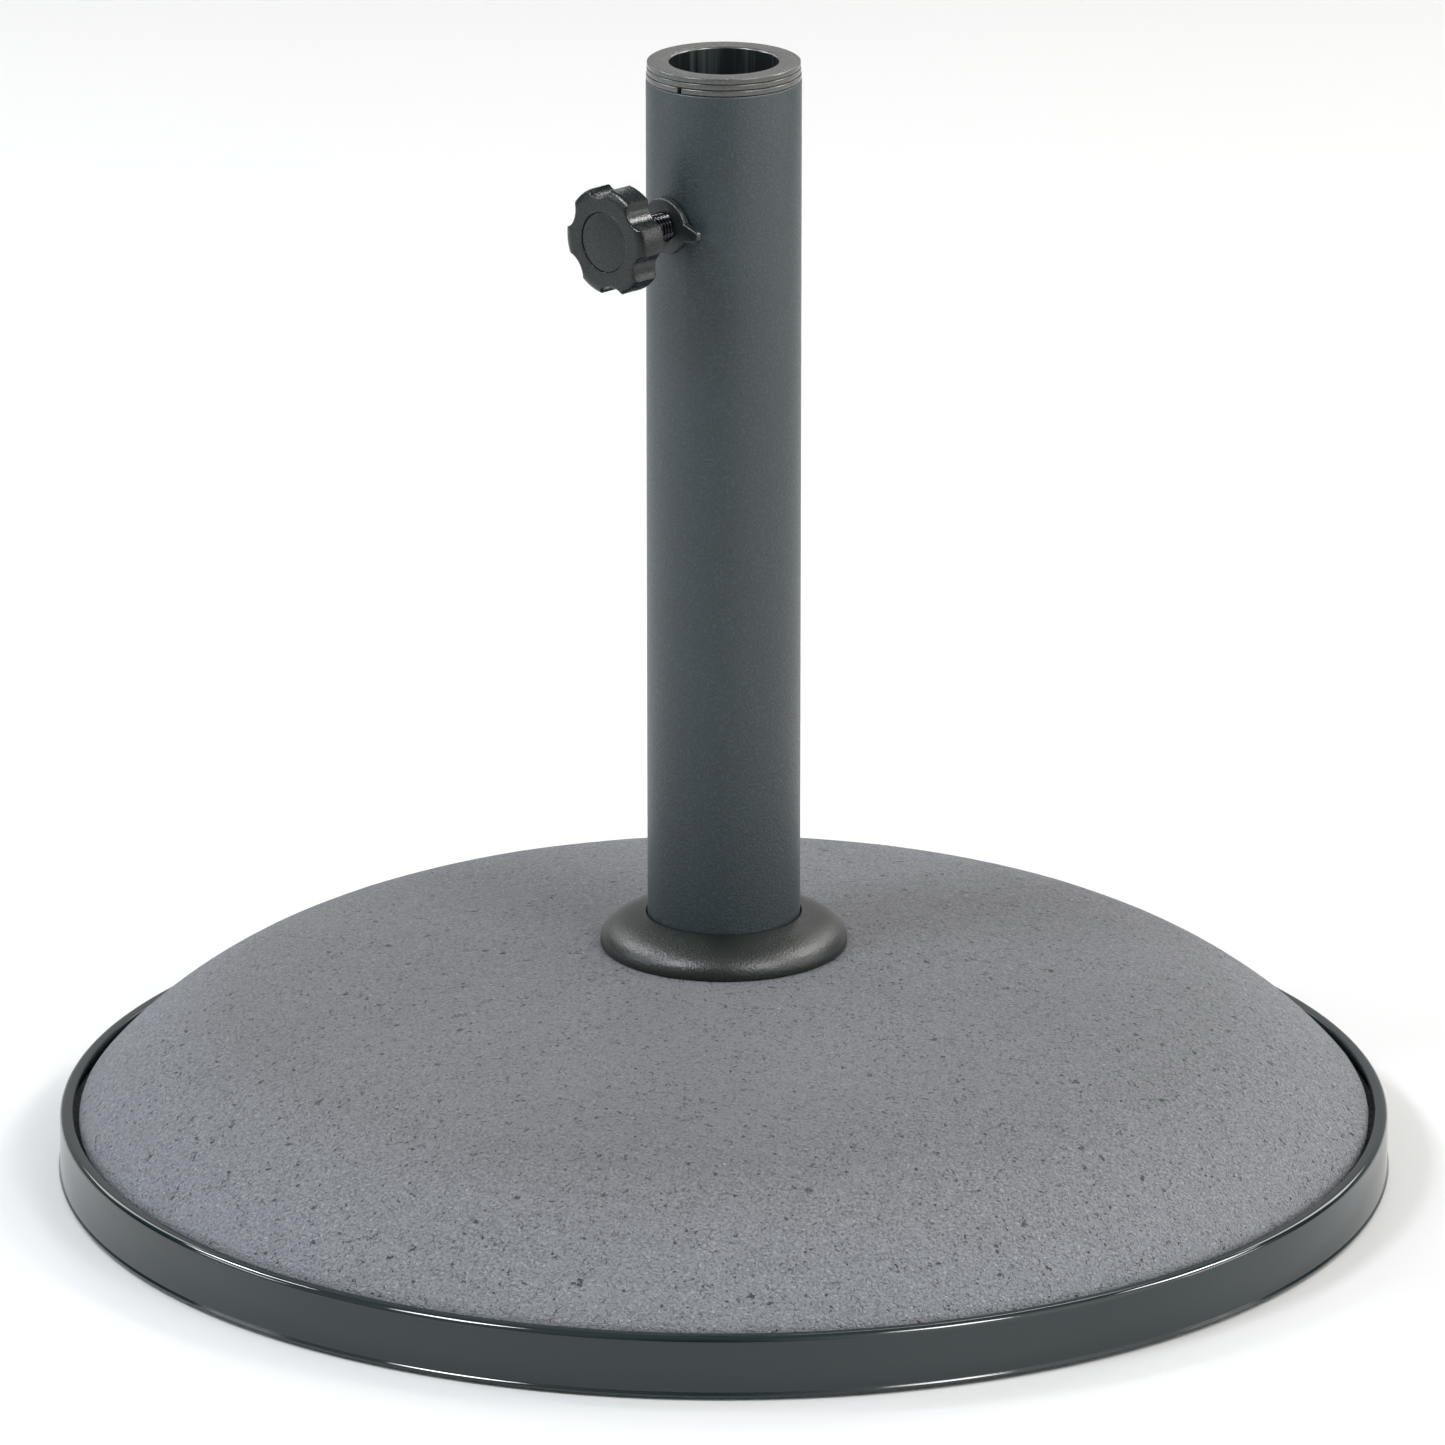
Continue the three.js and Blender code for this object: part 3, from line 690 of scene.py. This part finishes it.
def make_foot_fasteners():
    low, high = low_high("foot_bolt")
    bolt = hex_block("bolt", BOLT_FLATS, low, low + BOLT_HEAD, True, False)
    shank = low + BOLT_HEAD - 0.5 * MM
    rod = make_threaded_rod("rod", BOLT_RADIUS, BOLT_PITCH, shank, high, 64, 12, False)
    boolean(bolt, rod, "UNION")
    dress(bolt, "base", "zinc", "foot_bolt")

    low, high = low_high("foot_nut")
    nut = hex_block("nut", BOLT_FLATS, low, high, False, True)
    hole = prism("hole", circle(BOLT_RADIUS + 0.2 * MM, 64), low - 1 * MM, high + 1 * MM)
    dress(boolean(nut, hole, "DIFFERENCE"), "base", "zinc", "foot_nut")

    low, high = low_high("flat_washer")
    outer = radius_of("flat_washer")
    corners = [(BOLT_CLEARANCE, low), (outer, low), (outer, high), (BOLT_CLEARANCE, high)]
    washer = revolved("washer", rounded(corners, [0.3 * MM, 0.5 * MM, 0.5 * MM, 0.3 * MM], 3), 96)
    dress(washer, "base", "zinc", "flat_washer")
    make_spring_washer()


def make_spring_washer():
    """One turn of a square section that climbs by its own rise from end to end."""
    low, high = low_high("spring_washer")
    outer = radius_of("spring_washer")
    inner = 6.3 * MM
    rise = 0.5 * MM
    gap = math.radians(9)
    steps = 96
    vertices = []
    for i in range(steps + 1):
        angle = gap + (TAU - 2 * gap) * i / steps
        lift = rise * i / steps
        for radius, z in ((inner, low), (outer, low), (outer, high - rise), (inner, high - rise)):
            vertices.append((radius * math.cos(angle), radius * math.sin(angle), z + lift))
    faces = [
        (4 * i + j, 4 * i + (j + 1) % 4, 4 * i + 4 + (j + 1) % 4, 4 * i + 4 + j)
        for i in range(steps)
        for j in range(4)
    ]
    faces += [(0, 1, 2, 3), tuple(4 * steps + j for j in range(4))]
    washer = bevelled(finish_mesh("lock_washer", vertices, faces), 0.25 * MM, 2)
    dress(washer, "base", "zinc", "spring_washer")


# ---- Collar ----
def make_collar():
    """A shell with an elliptical back, a rounded mouth round the tube and a turned-in foot."""
    low, high = low_high("foot_collar")
    outer = radius_of("foot_collar")
    bore = 29.2 * MM
    centre = 23 * MM
    foot = 1.5 * MM
    wall = 2 * MM
    mouth_gap = 0.25 * MM
    rise = (high - low - foot) / math.sqrt(1 - ((bore - centre) / (outer - centre)) ** 2)

    def shell(inset, steps):
        reach, climb = outer - centre - inset, rise - inset
        end = math.acos((bore - centre) / reach)
        return [
            (centre + reach * math.cos(t), low + foot + climb * math.sin(t))
            for t in np.linspace(0, end, steps + 1)
        ]

    back = shell(0, 40)
    lining = shell(wall, 20)[::-1]
    mouth_z = back[-1][1]
    lip = 0.7 * MM
    mouth_r = radius_of("pole_tube") + mouth_gap
    mouth = arc(mouth_r + lip, mouth_z - lip, lip, 80, 180, 6)
    toe = 0.4 * MM
    profile = [(outer - wall, low), (outer - toe, low)]
    profile += arc(outer - toe, low + toe, toe, -90, 0, 4)[1:]
    profile += back[:-2] + mouth + lining
    piece = revolved("collar_shell", profile, 192)
    return dress(piece, "collar", "collar_plastic", "foot_collar")


# ---- Reducers ----
SLEEVES = {  # outer radius, bore radius and the body that it moves with
    "reducer_outer": (26.7 * MM, 25.0 * MM, "outer_sleeve"),
    "reducer_middle": (24.7 * MM, 22.5 * MM, "middle_sleeve"),
    "reducer_inner": (22.2 * MM, 20.0 * MM, "inner_sleeve"),
}
FLANGE = 2 * MM
SLOT_HALF_WIDTH = 7.8 * MM
SLIT_WIDTH = 1.8 * MM
SLIT_AZIMUTH = math.radians(34.6)


def make_reducer(node):
    outer, bore, body = SLEEVES[node]
    low, high = low_high(node)
    flange = radius_of(node)
    edge = 0.35 * MM
    corners = [
        (bore, low),
        (outer, low),
        (outer, high - FLANGE),
        (flange, high - FLANGE),
        (flange, high),
        (bore, high),
    ]
    rounds = [0.3 * MM, 0.5 * MM, 0.2 * MM, edge, edge, 0.8 * MM]
    piece = revolved(node.replace("reducer", "sleeve"), rounded(corners, rounds, 5), 192)
    roof = [
        (SLOT_HALF_WIDTH * math.cos(t), 0.4 * MM + SLOT_HALF_WIDTH * math.sin(t))
        for t in np.linspace(0, math.pi, 25)
    ]
    below = low - SCREW_HEIGHT - 1 * MM
    outline = roof + [(-SLOT_HALF_WIDTH, below), (SLOT_HALF_WIDTH, below)]
    boolean(piece, along_screw(prism("slot", outline, bore / 2, outer + 5 * MM)), "DIFFERENCE")
    if node == "reducer_outer":
        half = SLIT_WIDTH / 2
        outline = [(-half, 0), (half, 0), (half, -2 * outer), (-half, -2 * outer)]
        slit = prism("slit", outline, SCREW_HEIGHT, high + 1 * MM)
        slit.data.transform(Matrix.Rotation(-SLIT_AZIMUTH, 4, "Z"))
        boolean(piece, slit, "DIFFERENCE")
    dress(piece, body, "reducer_plastic", node)
    piece.data.materials.append(MATERIALS["bore_plastic"])
    for polygon in piece.data.polygons:
        x, y, z = polygon.center
        if math.hypot(x, y) < bore + 0.2 * MM and z < high - 0.5 * MM:
            polygon.material_index = 1
    return piece


# ---- Clamp: boss, lock nut, tip, screw and knob ----
def make_boss():
    start, end = along_screw_span("threaded_boss")
    body = 7 * MM
    flange = 8.8 * MM
    thread = 5.2 * MM
    corners = [(thread, start), (body, start), (body, end), (thread, end)]
    piece = revolved("boss", rounded(corners, [0.3 * MM] * 4, 3), 96)
    back = end - 4 * MM
    corners = [(thread, back), (flange, back), (flange, end), (thread, end)]
    collar = revolved("boss_flange", rounded(corners, [0, 0, 0.4 * MM, 0.3 * MM], 3), 96)
    tube = radius_of("pole_tube") + 0.1 * MM
    skin = prism("tube_skin", circle(tube, 192), -20 * MM, 20 * MM)
    skin.data.transform(Matrix.Rotation(math.pi / 2, 4, "X"))
    boolean(collar, skin, "DIFFERENCE")
    boolean(piece, collar, "UNION")
    return dress(along_screw(piece), "base", "powder_coat", "threaded_boss")


NUT_TURN = math.radians(-4.5)
NUT_RADIUS = 10.5 * MM
NUT_HOLE = 5.15 * MM
WING_REACH = 17.4 * MM
WING_ROOT = 3.6 * MM
WING_NOSE = 2.4 * MM
SCREW_RADIUS = 5 * MM
TIP_BORE = 2.3 * MM                     # blind hole in the screw's end, for the tip's stem
TIP_BORE_DEPTH = 4.7 * MM


def make_lock_nut():
    """A stamped disc with two blunt wings, each with straight flanks and a rounded tip."""
    start, end = along_screw_span("wing_lock_nut")
    tip = [(WING_REACH - WING_NOSE + x, y) for x, y in arc(0, 0, WING_NOSE, -70, 70, 10)]
    root = math.degrees(math.asin(WING_ROOT / NUT_RADIUS))
    half = tip + arc(0, 0, NUT_RADIUS, root, 180 - root, 40)
    outline = half + [(-x, -y) for x, y in half]
    piece = prism("lock_nut_plate", outline, start, end)
    hole = prism("hole", circle(NUT_HOLE, 48), start - 1 * MM, end + 1 * MM)
    boolean(piece, hole, "DIFFERENCE")
    bevelled(piece, 0.7 * MM, 3)
    piece.data.transform(Matrix.Rotation(NUT_TURN, 4, "Z"))
    return dress(along_screw(piece), "lock_nut", "nut_coat", "wing_lock_nut")


def make_tip():
    start, end = along_screw_span("pressure_tip")
    shoulder = start + 1.3 * MM
    pad, stem = 3.8 * MM, 2 * MM
    edge = 0.4 * MM
    profile = [(0, start), (pad - edge, start)]
    profile += arc(pad - edge, start + edge, edge, -90, 0, 4)[1:]
    profile += [(pad, shoulder), (stem, shoulder), (stem, end - edge), (stem - edge, end), (0, end)]
    return dress(along_screw(revolved("tip", profile, 48)), "tip", "tip_plastic", "pressure_tip")


def make_screw():
    start, end = along_screw_span("clamp_screw")
    into_head = HEAD_START + 0.5 * MM
    rod = make_threaded_rod("screw", SCREW_RADIUS, THREAD_PITCH, start, into_head, 72, 14, True)
    bore = prism("bore", circle(TIP_BORE, 32), start - 1 * MM, start + TIP_BORE_DEPTH)
    boolean(rod, bore, "DIFFERENCE", THREAD_CREASE)
    head = hex_block("head", HEAD_FLATS, HEAD_START, end, False, True)
    boolean(rod, head, "UNION", THREAD_CREASE)
    return dress(along_screw(rod), "knob", "screw_steel", "clamp_screw")


KNOB_RADIUS = 20 * MM
KNOB_FACE_RADIUS = 16.3 * MM
KNOB_SHOULDER = 2 * MM
KNOB_BACK_ROUND = 1 * MM
KNOB_LOBES = 6
KNOB_TURN = math.radians(8.5)
SCOOP_RADIUS = 6 * MM
SCOOP_CENTRE = 22.5 * MM
SCOOP_EDGE = 3 * MM
KNOB_HUB = 11.2 * MM
KNOB_SKIRT = 15.2 * MM
KNOB_HOLLOW = 6 * MM
KNOB_RIB = 1.4 * MM
CAP_SEAT = 11.2 * MM
CAP_SEAT_FLOOR = 59.7 * MM
CAP_FILLS = 0.22 * MM
HEAD_FLATS = 17 * MM
HEAD_START = 53.3 * MM


def scooped(radii, angles):
    """Radii held inside the round scoops between the lobes, with softened edges."""
    pitch = TAU / KNOB_LOBES
    away = np.mod(angles - KNOB_TURN, pitch) - pitch / 2
    inside = SCOOP_RADIUS**2 - (SCOOP_CENTRE * np.sin(away)) ** 2
    wall = SCOOP_CENTRE * np.cos(away) - np.sqrt(np.clip(inside, 0, None))
    wall = np.where(inside > 0, wall, SCOOP_CENTRE)
    overlap = np.clip(SCOOP_EDGE - np.abs(radii - wall), 0, None) / SCOOP_EDGE
    return np.minimum(radii, wall) - overlap**2 * SCOOP_EDGE / 4


def make_knob():
    """A lobed cap moulded hollow from the back, with ribs from its hub to its skirt."""
    start, end = along_screw_span("knob_body")
    hollow = start + KNOB_HOLLOW
    shank = 5.3 * MM
    small = 0.4 * MM
    profile = rounded(
        [
            (shank, start),
            (KNOB_HUB, start),
            (KNOB_HUB, hollow),
            (KNOB_SKIRT, hollow),
            (KNOB_SKIRT, start),
            (KNOB_RADIUS, start),
            (KNOB_RADIUS, end - KNOB_SHOULDER),
        ],
        [small, small, small, small, small, KNOB_BACK_ROUND, 0],
        4,
    )
    bend = KNOB_RADIUS - KNOB_FACE_RADIUS
    profile += [
        (KNOB_FACE_RADIUS + bend * math.cos(t), end + KNOB_SHOULDER * (math.sin(t) - 1))
        for t in np.linspace(0, math.pi / 2, 14)[1:]
    ]
    profile += [(ring * MM, end) for ring in (15.8, 15.2, 14, 12.5)]
    profile += arc(CAP_SEAT + small / 2, end - small / 2, small / 2, 90, 180, 4)
    profile += [(CAP_SEAT, CAP_SEAT_FLOOR), (shank, CAP_SEAT_FLOOR)]
    piece = revolved("knob_handle", profile, 480, scooped)
    pocket = prism("pocket", hexagon(HEAD_FLATS + 0.6 * MM), HEAD_START - 0.3 * MM, end)
    boolean(piece, pocket, "DIFFERENCE")
    half = KNOB_RIB / 2
    reach = (KNOB_HUB - 1 * MM, KNOB_SKIRT + 1 * MM)
    for i in range(KNOB_LOBES):
        outline = [(reach[0], -half), (reach[1], -half), (reach[1], half), (reach[0], half)]
        rib = prism("rib", outline, start + 1 * MM, hollow + 0.5 * MM)
        rib.data.transform(Matrix.Rotation(KNOB_TURN + i * TAU / KNOB_LOBES, 4, "Z"))
        boolean(piece, rib, "UNION")
    return dress(along_screw(piece), "knob", "knob_plastic", "knob_body")


def make_knob_cap():
    """A disc wide enough to fill its seat in the knob's face."""
    start, end = along_screw_span("knob_cap")
    low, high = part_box("knob_cap")
    radius = (high.z - low.z) / 2 + CAP_FILLS
    edge = 0.4 * MM
    profile = [(0, start), (radius, start)]
    profile += arc(radius - edge, end - edge, edge, 0, 90, 5)
    profile += [(0, end)]
    return dress(along_screw(revolved("cap", profile, 128)), "knob", "knob_plastic", "knob_cap")


# ---- Studio ----
# Broad light from the room: where it comes from, the cosine where it has faded out, and its
# strength.
GLOWS = {
    "back_low": ((0, 1, 0.1), 0.35, 0.52),
    "left_mid": ((-1, -0.6, 0.5), 0.5, 0.49),
    "right_mid": ((1, -0.6, 0.4), 0.5, 1.6),
    "top": ((0, 0, 1), 0.6, 0.36),
}
COOL = (0.93, 1.0, 1.09)
NEUTRAL = (1.0, 1.0, 0.99)
WARM = (1.03, 1.0, 0.96)
SOFTBOXES = {  # azimuth from the front towards +X, elevation, distance, width, height, power, tint
    "left": (-57, 48, 2.6, 0.8, 0.4, 22, COOL),
    "right": (43, 42, 2.6, 0.8, 0.45, 10.5, NEUTRAL),
    "far_left": (-115, 42, 2.6, 0.5, 0.3, 10, COOL),
    "far_right": (106, 42, 2.6, 0.7, 0.25, 10, WARM),
    "low_left": (-88, 18, 2.6, 0.8, 0.6, 10, COOL),
    "low_right": (90, 14, 2.6, 0.8, 0.6, 6, WARM),
    "back_left": (-140, 30, 2.6, 0.8, 0.9, 8, NEUTRAL),
    "back_right": (140, 30, 2.6, 0.8, 0.9, 10.5, WARM),
    "behind": (172, 37, 2.6, 0.5, 0.25, 3, NEUTRAL),
}
STRIPS = {  # strong lights that show only in shiny surfaces
    "left_strip": (-56, 46, 2.6, 0.6, 0.9, 31, NEUTRAL),
    "right_strip": (46, 44, 2.6, 0.6, 0.9, 31, NEUTRAL),
    "far_left_strip": (-113, 42, 2.6, 0.25, 0.9, 20, NEUTRAL),
    "far_right_strip": (108, 42, 2.6, 0.5, 0.9, 30, NEUTRAL),
}
AIM = Vector((0, 0, 0.15))
FLOOR_COLOUR = (0.86, 0.86, 0.85, 1)


def make_floor():
    """A pale floor that runs past the picture on every side."""
    half = 7.0
    thickness = 0.02
    corners = [(-half, -half), (half, -half), (half, half), (-half, half)]
    floor = prism("floor", corners, -thickness, 0.0)
    shader = Shader("floor", 0.6)
    floor.data.materials.append(shader.done(FLOOR_COLOUR))


def make_softbox(name, azimuth, elevation, distance, width, height, power, tint):
    data = bpy.data.lights.new(name, "AREA")
    data.shape = "RECTANGLE"
    data.size, data.size_y = width, height
    data.energy = power
    data.color = tint
    light = bpy.data.objects.new(name, data)
    a, e = math.radians(azimuth), math.radians(elevation)
    direction = Vector((math.sin(a) * math.cos(e), -math.cos(a) * math.cos(e), math.sin(e)))
    light.location = AIM + direction * distance
    light.rotation_euler = direction.to_track_quat("Z", "Y").to_euler()
    bpy.context.scene.collection.objects.link(light)
    return light


def make_room():
    """The world: broad glows, each strongest in its own direction."""
    world = bpy.data.worlds.new("room")
    bpy.context.scene.world = world
    world.use_nodes = True
    nodes, links = world.node_tree.nodes, world.node_tree.links
    towards = nodes.new("ShaderNodeTexCoord").outputs["Generated"]
    total = None
    for direction, fade, strength in GLOWS.values():
        along = nodes.new("ShaderNodeVectorMath")
        along.operation = "DOT_PRODUCT"
        links.new(towards, along.inputs[0])
        along.inputs[1].default_value = Vector(direction).normalized()
        glow = nodes.new("ShaderNodeMapRange")
        glow.interpolation_type = "SMOOTHSTEP"
        glow.inputs["From Min"].default_value = fade
        glow.inputs["To Max"].default_value = strength
        links.new(along.outputs["Value"], glow.inputs["Value"])
        if total is None:
            total = glow.outputs["Result"]
            continue
        together = nodes.new("ShaderNodeMath")
        links.new(total, together.inputs[0])
        links.new(glow.outputs["Result"], together.inputs[1])
        total = together.outputs["Value"]
    links.new(total, nodes["Background"].inputs["Strength"])
    nodes["Background"].inputs["Color"].default_value = (1.0, 1.0, 0.995, 1)


def make_studio():
    make_room()
    for name, settings in SOFTBOXES.items():
        make_softbox(name, *settings)
    for name, settings in STRIPS.items():
        make_softbox(name, *settings).visible_diffuse = False
    view = bpy.context.scene.view_settings
    view.view_transform = "Standard"
    view.look = "None"
    view.exposure = 0.0


make_camera()
make_studio()
make_floor()
make_concrete()
make_rim()
make_pads()
make_tube()
make_foot_plate()
make_foot_fasteners()
make_collar()
for sleeve in SLEEVES:
    make_reducer(sleeve)
make_boss()
make_lock_nut()
make_tip()
make_screw()
make_knob()
make_knob_cap()
